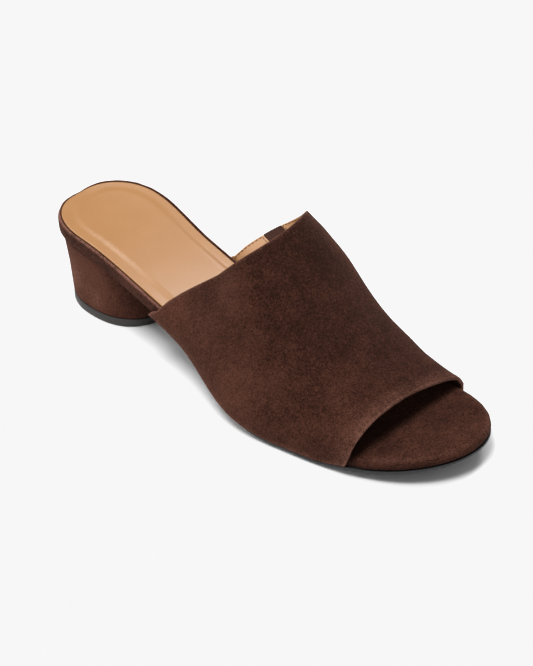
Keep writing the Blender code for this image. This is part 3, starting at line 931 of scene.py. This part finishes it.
# a patch brushed lighter: place down and across, radius, strength
UPPER_BRUSHED = (
    (0.03, 0.09, 0.012, 0.22),
    (0.42, 0.12, 0.016, 0.16),
    (0.12, 0.32, 0.012, 0.12),
    (0.93, 0.36, 0.016, 0.14),
    (0.94, 0.62, 0.012, 0.12),
)

# a soft crease: place down and across where it starts and ends, half width, height, which is
# below 0 in a trough
CREASES = (
    (0.72, 0.20, 0.66, 0.46, 0.0050, -0.00030),
    (0.60, 0.18, 0.56, 0.40, 0.0060, 0.00022),
    (0.70, 0.58, 0.76, 0.84, 0.0055, -0.00028),
    (0.30, 0.14, 0.46, 0.20, 0.0070, -0.00025),
    (0.16, 0.74, 0.34, 0.88, 0.0050, -0.00030),
)


def normals_of(piece):
    """Return the normals at the piece's points as an array."""
    flat = np.empty(len(piece.data.vertices) * 3, np.float32)
    piece.data.vertex_normals.foreach_get("vector", flat)
    return flat.reshape(-1, 3).astype(float)


def upper_face(share, across):
    """Return places on the outer face, across from 0 on the outer side to 1 on the inner."""
    part = np.clip((across - RIM_PART) / (1 - 2 * RIM_PART), 0.0, 1.0)
    angle = np.pi * (1 - part)
    cosine, sine = np.cos(angle), np.maximum(np.sin(angle), 0.0)
    side = np.where(cosine > 0, 1, -1)
    power = np.where(side > 0, INNER_SIDE_POWER, OUTER_SIDE_POWER)
    lean = side * np.abs(cosine) ** (2 / power)
    lift = sine ** (2 / along(SECTIONS, 5, share))
    centre = HALF_BALL * along(OUTLINE, 1, share)
    slope = (edge_y(share + STEP, side) - edge_y(share - STEP, side)) / (2 * STEP * LENGTH)
    reach = np.abs(edge_y(share, side) - centre) + OVER_RIM * np.hypot(1, slope)
    belly = np.where(side > 0, along(SECTIONS, 4, share), along(SECTIONS, 3, share)) * side
    bulge = HALF_BALL * belly * np.sin(np.pi * lift) ** 2
    y = centre + reach * lean + HALF_BALL * along(SECTIONS, 2, share) * lift + bulge
    up_rim = np.minimum(np.minimum(across, 1 - across) / RIM_PART, 1.0)
    crown = INSTEP_RISE * along(SECTIONS, 1, share) * lift
    z = underside(share) + thickness(share) * up_rim + crown
    return np.column_stack([share * LENGTH - HEEL_CENTRE, y, z])


def upper_point(down, across, depth):
    """Return places at a depth in the wall, down from 0 at the throat to 1 at the toe."""
    down, across = np.broadcast_arrays(np.asarray(down, float), np.asarray(across, float))
    down, across = down.ravel(), across.ravel()
    share = along(EDGES, 1, across) * (1 - down) + along(EDGES, 2, across) * down
    before, after = np.maximum(across - SMOOTH_STEP, 0.0), np.minimum(across + SMOOTH_STEP, 1.0)
    along_foot = upper_face(share + STEP, across) - upper_face(share - STEP, across)
    over_foot = upper_face(share, after) - upper_face(share, before)
    normal = np.cross(along_foot, over_foot)
    normal /= np.linalg.norm(normal, axis=1, keepdims=True)
    return upper_face(share, across) - np.reshape(depth, (-1, 1)) * normal


def grid_of(downs, acrosses):
    """Return the places of a grid over the upper, row by row."""
    down, across = np.meshgrid(downs, acrosses, indexing="ij")
    return down.ravel(), across.ravel()


def wall(name, downs, acrosses, kept, outer, inner, finish, rounding=None):
    """Make a wall over the kept cells of a grid, between two depths, and round its edges."""
    width = len(acrosses)
    down, across = grid_of(downs, acrosses)
    points = np.concatenate([upper_point(down, across, outer), upper_point(down, across, inner)])
    under = len(down)
    faces = []
    edges = {}
    for i in range(len(downs) - 1):
        for j in range(width - 1):
            if not kept(i, j):
                continue
            corner = i * width + j
            loop = (corner, corner + 1, corner + width + 1, corner + width)
            faces.append(loop)
            faces.append(tuple(under + v for v in reversed(loop)))
            for a, b in zip(loop, loop[1:] + loop[:1]):
                key = (min(a, b), max(a, b))
                edges[key] = None if key in edges else (a, b)
    faces += [(b, a, under + a, under + b) for a, b in (e for e in edges.values() if e)]
    used = sorted({v for face in faces for v in face})
    place = {v: n for n, v in enumerate(used)}
    piece = solid(name, points[used], [tuple(place[v] for v in face) for face in faces], finish)
    if rounding:
        bevel = piece.modifiers.new("rounding", "BEVEL")
        bevel.width = rounding
        bevel.segments = 3
        bevel.limit_method = "ANGLE"
        bevel.angle_limit = math.radians(50)
        bevel.use_clamp_overlap = False
        baked(piece)
        piece.data.shade_smooth()
    return piece


def relief(down, across):
    """Return how far the suede stands out: its creases, folded edges and slight waver."""
    spots = upper_point(down, across, 0.0)
    stands = np.zeros(len(spots))
    for down_0, across_0, down_1, across_1, half_width, height in CREASES:
        t = np.linspace(0, 1, 24)
        down_t, across_t = down_0 + (down_1 - down_0) * t, across_0 + (across_1 - across_0) * t
        away = distance_to(spots, upper_point(down_t, across_t, 0.0))
        stands += height * fading(away, half_width)
    for edge_path in (throat_edge, toe_edge):
        away = distance_to(spots, edge_path)
        stands += FOLD_SWELL * (1 - smooth(0.5 * FOLD_WIDTH, FOLD_WIDTH, away))
    waves = [noise.noise(Vector(spot) / WAVER_SIZE) for spot in spots]
    on_arch = smooth(RIM_PART, 2 * RIM_PART, across) * smooth(RIM_PART, 2 * RIM_PART, 1 - across)
    return (stands + WAVER * np.array(waves)) * on_arch


line = np.linspace(0, 1, 160)
throat_edge = upper_point(0.0, line, UPPER_WALL / 2)
toe_edge = upper_point(1.0, line, UPPER_WALL / 2)
middle = upper_point(0.0, GORE_MIDDLE, 0.0)[0]
beside = upper_point(0.0, GORE_MIDDLE + STEP, 0.0)[0]
below = upper_point(STEP, GORE_MIDDLE, 0.0)[0]
metre_across = STEP / np.linalg.norm(beside - middle)
metre_down = STEP / np.linalg.norm(below - middle)
gore_left = GORE_MIDDLE - GORE_WIDTH / 2 * metre_across
gore_right = GORE_MIDDLE + GORE_WIDTH / 2 * metre_across
gore_end = GORE_DEPTH * metre_down


def band(name, throat_hold, toe_hold, outer, inner, finish, rounding):
    """Make a layer of the upper, held back from its edges, with the notch for the gore.

    The inner depth is given by a function of the distances to the throat's and the toe's edge.
    """
    left = gore_left - throat_hold * metre_across
    right = gore_right + throat_hold * metre_across
    end = gore_end + throat_hold * metre_down
    start = throat_hold * metre_down
    finish_down = 1 - toe_hold * metre_down
    pitch = (1 - 2 * RIM_PART) / UPPER_COLUMNS
    steps = [0, *range(CROWDED + 1, UPPER_COLUMNS - CROWDED), UPPER_COLUMNS]
    arch = RIM_PART + pitch * np.array(steps)
    arch = [place for place in arch if min(abs(place - left), abs(place - right)) > pitch * 0.8]
    rims = [throat_hold * metre_across, RIM_PART * 0.25, RIM_PART * 0.5, RIM_PART * 0.75]
    acrosses = np.sort([*arch, left, right, *rims, *(1 - place for place in rims)])
    hems = np.array(HEM_ROWS) * metre_down
    downs = [start, *(start + hems), *np.linspace(start + hems[-1], end, NOTCH_ROWS)[1:]]
    notch_rows = len(downs) - 1
    downs += [*np.linspace(end, finish_down - hems[-1], UPPER_ROWS)[1:]]
    downs += [*(finish_down - hems[-2::-1]), finish_down]
    first, last = np.searchsorted(acrosses, (left, right))
    down, across = grid_of(downs, acrosses)
    spots = upper_point(down, across, 0.0)
    stands = relief(down, across)
    depth = inner(distance_to(spots, throat_edge), distance_to(spots, toe_edge))
    return wall(name, downs, acrosses, lambda i, j: not (i < notch_rows and first <= j < last),
                outer - stands, depth - stands, finish, rounding)


def suede_depth(from_throat, from_toe):
    """Return how thick the suede lies: double where it is turned in at an edge."""
    throat_fold = (HEM_DEPTH - SUEDE_LAYER) * (1 - smooth(0.0008, 0.0014, from_throat))
    toe_fold = (UPPER_WALL - SUEDE_LAYER) * (1 - smooth(TOE_HEM - 0.0014, TOE_HEM, from_toe))
    return SUEDE_LAYER + throat_fold + toe_fold


upper = band("upper_suede", 0.0, 0.0, 0.0, suede_depth, brown_suede, FOLD_ROUND)
spots = points_of(upper)
from_toe = distance_to(spots, toe_edge)
fold = np.minimum(distance_to(spots, throat_edge), from_toe)
outer_feather, inner_feather = upper_point(line, 0.0, 0.0), upper_point(line, 1.0, 0.0)
feather = np.minimum(distance_to(spots, outer_feather), distance_to(spots, inner_feather))
rub_and_highlight = FOLD_RUB * fading(fold, 0.0010) + FEATHER_RUB * fading(feather, 0.0016)
# A band along the toe opening's folded edge is painted lighter, a painted highlight; the fold and
# feather lines are rubbed suede.
mark(upper, "rubbed_and_highlight", rub_and_highlight + 0.16 * (1 - smooth(0.002, 0.010, from_toe)))
spot_share = share_at(spots[:, 0])
from_outer = spots[:, 1] - edge_y(spot_share, -1)
from_inner = edge_y(spot_share, 1) - spots[:, 1]
# Near the outer and the inner feather the suede is painted lighter, painted light and sheen; the
# patches after that are brushed nap.
to_toe = 1 - 0.45 * smooth(0.60, 0.80, spot_share)
nap_and_shading = OUTER_PAINTED_LIGHT * (1 - smooth(-0.004, 0.036, from_outer)) * to_toe
nap_and_shading += INNER_PAINTED_LIGHT * (1 - smooth(-0.002, 0.016, from_inner))
for down, across, radius, strength in UPPER_BRUSHED:
    away = np.linalg.norm(spots - upper_point(down, across, 0.0), axis=1)
    nap_and_shading += strength * fading(away, radius)
middle_y = HALF_BALL * along(OUTLINE, 1, spot_share)
out_y, out_z = spots[:, 1] - middle_y, spots[:, 2] - underside(spot_share)
# Only outward faces take the nap marks; the inner faces stay darker, the suede's flesh side, and
# painted shade inside the toe opening.
turned = normals_of(upper)
outside = smooth(-0.004, 0.004, turned[:, 1] * out_y + turned[:, 2] * out_z)
mark(upper, "nap_and_shading", (nap_and_shading + UPPER_NAP) * outside)
fitted(upper, "suede", "upper")

lining_leather = leather("lining_leather", LINING_TAN, LINING_DEEP, roughness=0.50, grain=0.0007)
lining = band("upper_lining", 0.0003, TOE_HEM + 0.0006, UPPER_WALL - LINING_LAYER,
              lambda from_throat, from_toe: UPPER_WALL + 0 * from_toe, lining_leather, 0.00018)
fitted(lining, "tan_leather")


# Gore. A strip of brown ribbed elastic let into a notch at the throat's inner side, between suede
# and lining, so that the band gives as the foot goes in.
GORE_THICKNESS = 0.0012
GORE_RIBS = 10
RIB_HEIGHT = 0.00016
RIB_STEPS = 8
GORE_GAP = 0.00005
TUCKED = (0.00015, 0.0014)
SLOT_DEPTH = 0.00117
SLOT_THICKNESS = 0.00016


def elastic(name, dark, light):
    """Covered rubber threads, dull, with a fine weave across them."""
    made = Finish(name, Roughness=0.9, Specular_IOR_Level=0.15)
    place = made.place()
    weave = made.cells(place, 0.00035)
    fluff = made.cloud(place, 0.0012, 3.0, 0.6)
    made.set("Base Color", made.blend(weave * 0.7 + fluff * 0.6 - 0.2, dark, light))
    made.bump((weave, 0.00010))
    return made


brown_elastic = elastic("brown_elastic", (0.024, 0.0098, 0.0066), (0.074, 0.0315, 0.0217))
panel_left = gore_left + GORE_GAP * metre_across
panel_right = gore_right - GORE_GAP * metre_across
panel = np.linspace(panel_left, panel_right, GORE_RIBS * RIB_STEPS + 1)
flange = np.array(TUCKED) * metre_across
acrosses = [*(gore_left - flange[::-1]), *panel, *(gore_right + flange)]
rows = np.linspace(0.0, gore_end - CLEARANCE * metre_down, 24)
downs = [*rows, *(gore_end + np.array(TUCKED) * metre_down)]
down, across = grid_of(downs, acrosses)
in_panel = (across >= panel_left) & (across <= panel_right) & (down <= rows[-1])
waves = np.pi * GORE_RIBS * (across - panel_left) / (panel_right - panel_left)
ribs = RIB_HEIGHT * np.abs(np.sin(waves))
stands = relief(down, across)
sunk = (UPPER_WALL - GORE_THICKNESS) / 2
outer = np.where(in_panel, sunk + RIB_HEIGHT - ribs, SLOT_DEPTH) - stands
inner = np.where(in_panel, sunk + GORE_THICKNESS - RIB_HEIGHT + ribs, SLOT_DEPTH + SLOT_THICKNESS)
inner = inner - stands


def tucked_or_panel(i, j):
    """Keep the panel, and its edges that lie between suede and lining below the throat's hem."""
    return i >= 2 or 2 <= j < len(acrosses) - 3


gore = wall("elastic_panel", downs, acrosses, tucked_or_panel, outer, inner, brown_elastic)
gore.data.set_sharp_from_angle(angle=math.radians(60))
fitted(gore, "elastic", "elastic_gore")


# Stitching. Waxed thread holds the lining's edge and goes round the gore. Outside, it shows round
# the gore and as a short row at each rear corner, brown and pulled into the nap.
STITCH_INSET = 0.0012
STITCH_PITCH = 0.0022
STITCH_LENGTH = 0.0019
THREAD = 0.00046
TACK_LENGTH = 0.011


def stitch_tree(finish):
    """Geometry nodes that lay stitches along a path."""
    tree = bpy.data.node_groups.new("stitches", "GeometryNodeTree")
    sockets = tree.interface
    sockets.new_socket("Geometry", in_out="INPUT", socket_type="NodeSocketGeometry")
    names = {}
    for name in ("Pitch", "Stitch length", "Thread"):
        added = sockets.new_socket(name, in_out="INPUT", socket_type="NodeSocketFloat")
        names[name] = added.identifier
    sockets.new_socket("Geometry", in_out="OUTPUT", socket_type="NodeSocketGeometry")
    kinds = (
        "NodeGroupInput", "GeometryNodeMeshToCurve", "GeometryNodeCurveToPoints",
        "GeometryNodeMeshUVSphere", "ShaderNodeCombineXYZ", "GeometryNodeInstanceOnPoints",
        "GeometryNodeRealizeInstances", "GeometryNodeSetShadeSmooth", "GeometryNodeSetMaterial",
        "NodeGroupOutput",
    )
    nodes = [tree.nodes.new(kind) for kind in kinds]
    given, curve, stops, bead, shape, laid, real, soft, dyed, made = nodes
    stops.mode = "LENGTH"
    bead.inputs["Segments"].default_value = 8
    bead.inputs["Rings"].default_value = 6
    bead.inputs["Radius"].default_value = 0.5
    dyed.inputs["Material"].default_value = finish.material
    join = tree.links.new
    join(given.outputs["Geometry"], curve.inputs[0])
    join(curve.outputs[0], stops.inputs["Curve"])
    join(given.outputs["Pitch"], stops.inputs["Length"])
    join(given.outputs["Thread"], shape.inputs["X"])
    join(given.outputs["Thread"], shape.inputs["Y"])
    join(given.outputs["Stitch length"], shape.inputs["Z"])
    join(stops.outputs["Points"], laid.inputs["Points"])
    join(bead.outputs["Mesh"], laid.inputs["Instance"])
    join(stops.outputs["Rotation"], laid.inputs["Rotation"])
    join(shape.outputs[0], laid.inputs["Scale"])
    join(laid.outputs[0], real.inputs[0])
    join(real.outputs[0], soft.inputs[0])
    join(soft.outputs[0], dyed.inputs[0])
    join(dyed.outputs[0], made.inputs[0])
    return tree, names


def stitched(name, paths, finish):
    """Lay stitches along paths, each an array of places."""
    mesh = bpy.data.meshes.new(name)
    points = np.concatenate(paths)
    starts = np.cumsum([0, *(len(path) for path in paths)])
    edges = [(i, i + 1) for a, b in zip(starts, starts[1:]) for i in range(a, b - 1)]
    mesh.from_pydata([tuple(point) for point in points], edges, [])
    piece = link(bpy.data.objects.new(name, mesh))
    tree, names = stitch_tree(finish)
    sewn = piece.modifiers.new("stitches", "NODES")
    sewn.node_group = tree
    sewn[names["Pitch"]] = STITCH_PITCH
    sewn[names["Stitch length"]] = STITCH_LENGTH
    sewn[names["Thread"]] = THREAD
    return baked(piece)


def seam(places, depth):
    """Return the path through places given as (down, across), at a depth in the wall."""
    places = np.array(places)
    return upper_point(places[:, 0], places[:, 1], depth - relief(places[:, 0], places[:, 1]))


stitch_down = STITCH_INSET * metre_down
stitch_left = gore_left - STITCH_INSET * metre_across
stitch_right = gore_right + STITCH_INSET * metre_across
stitch_end = gore_end + STITCH_INSET * metre_down
round_gore = [(place, stitch_left) for place in np.linspace(stitch_down, stitch_end, 17)]
round_gore += [(stitch_end, place) for place in np.linspace(stitch_left, stitch_right, 10)[1:]]
round_gore += [(place, stitch_right) for place in np.linspace(stitch_end, stitch_down, 17)[1:]]
outer_throat = [(stitch_down, place) for place in np.linspace(RIM_PART, stitch_left, 90)]
inner_throat = [(stitch_down, place) for place in np.linspace(stitch_right, 1 - RIM_PART, 12)]
tack = TACK_LENGTH * metre_across
tack_down, tack_start = stitch_down * 1.4, RIM_PART * 0.5
outer_tack = [(tack_down, a) for a in np.linspace(tack_start, tack_start + tack * 0.4, 8)]
inner_tack = [(tack_down, 1 - a) for a in np.linspace(tack_start, tack_start + tack, 16)]


def thread(name, dark, light):
    """Waxed thread: two plies, a soft shine on their crowns."""
    made = Finish(name, Roughness=0.55, Specular_IOR_Level=0.4)
    place = made.place()
    made.set("Base Color", made.blend(made.cloud(place, 0.0006, 2.0, 0.6), dark, light))
    return made


tan_thread = thread("tan_thread", (0.077, 0.031, 0.0123), (0.169, 0.073, 0.031))
brown_thread = thread("brown_thread", (0.023, 0.010, 0.007), (0.046, 0.0215, 0.0154))
inside_row = stitched("lining_stitches", [seam(outer_throat + round_gore[1:-1] + inner_throat,
                                               UPPER_WALL + THREAD * 0.12)], tan_thread)
fitted(inside_row, "tan_leather")
outside_rows = [seam(places, THREAD * 0.22) for places in (round_gore, outer_tack, inner_tack)]
outside_row = stitched("suede_stitches", outside_rows, brown_thread)
fitted(outside_row, "suede")


# Studs. Two brass rivets with ringed, dimpled heads, set in the heel's inner side.
STUD_DIAMETER = 0.0050
STUD_HEIGHT = 0.0014
STUD_LEVEL = 0.0260
STUD_SPACING = 0.0198
STUD_BACK_SETBACK = 0.0271
STUD_SIDES = 48

# part of the stud's radius, part of its height
STUD_PROFILE = (
    (0.80, 0.00), (0.95, 0.10), (1.00, 0.28), (0.99, 0.46), (0.93, 0.66), (0.84, 0.82),
    (0.73, 0.91), (0.64, 0.92), (0.57, 0.84), (0.53, 0.66), (0.50, 0.42), (0.46, 0.40),
    (0.40, 0.52), (0.30, 0.64), (0.18, 0.71), (0.06, 0.74),
)

brass = Finish("brass", Metallic=1.0)
place = brass.place()
tarnish = brass.cloud(place, 0.0012, 3.0, 0.6)
brass.set("Base Color", brass.blend(tarnish, (0.58, 0.42, 0.23), (0.90, 0.76, 0.52)))
brass.set("Roughness", tarnish * 0.18 + 0.16)
brass.bump((brass.cloud(place, 0.0004, 2.0, 0.5), 0.00002))


def heel_side(x):
    """Return the heel's inner side at the studs' level."""
    foot = TOP_PIECE_THICKNESS + CLEARANCE
    part = (STUD_LEVEL - foot) / (underside(share_at(x)) - CLEARANCE - foot)
    side = heel_ring(part, 0.0, np.linspace(0.0, math.pi, 200))[::-1]
    return float(np.interp(x, side[:, 0], side[:, 1]))


for name, forward in (("stud_back", 0.0), ("stud_front", STUD_SPACING)):
    x = STUD_BACK_SETBACK + forward - HEEL_CENTRE
    reach = STUD_DIAMETER / 2
    slope = (heel_side(x + reach) - heel_side(x - reach)) / STUD_DIAMETER
    heading = math.atan(slope)
    angles = np.linspace(0, math.tau, STUD_SIDES, endpoint=False)
    points = []
    for radius_part, height_part in STUD_PROFILE:
        across = reach * radius_part * np.cos(angles)
        height = STUD_HEIGHT * height_part
        points.append(np.column_stack([
            x + across * math.cos(heading) - height * math.sin(heading),
            heel_side(x) + CLEARANCE + across * math.sin(heading) + height * math.cos(heading),
            STUD_LEVEL + reach * radius_part * np.sin(angles),
        ]))
    rows = len(STUD_PROFILE)
    faces = [tuple(range(STUD_SIDES)), tuple(range((rows - 1) * STUD_SIDES, rows * STUD_SIDES))]
    faces += between(rows, STUD_SIDES)
    stud = solid(f"{name}_rivet", np.concatenate(points), faces, brass)
    fitted(stud, "brass", name)
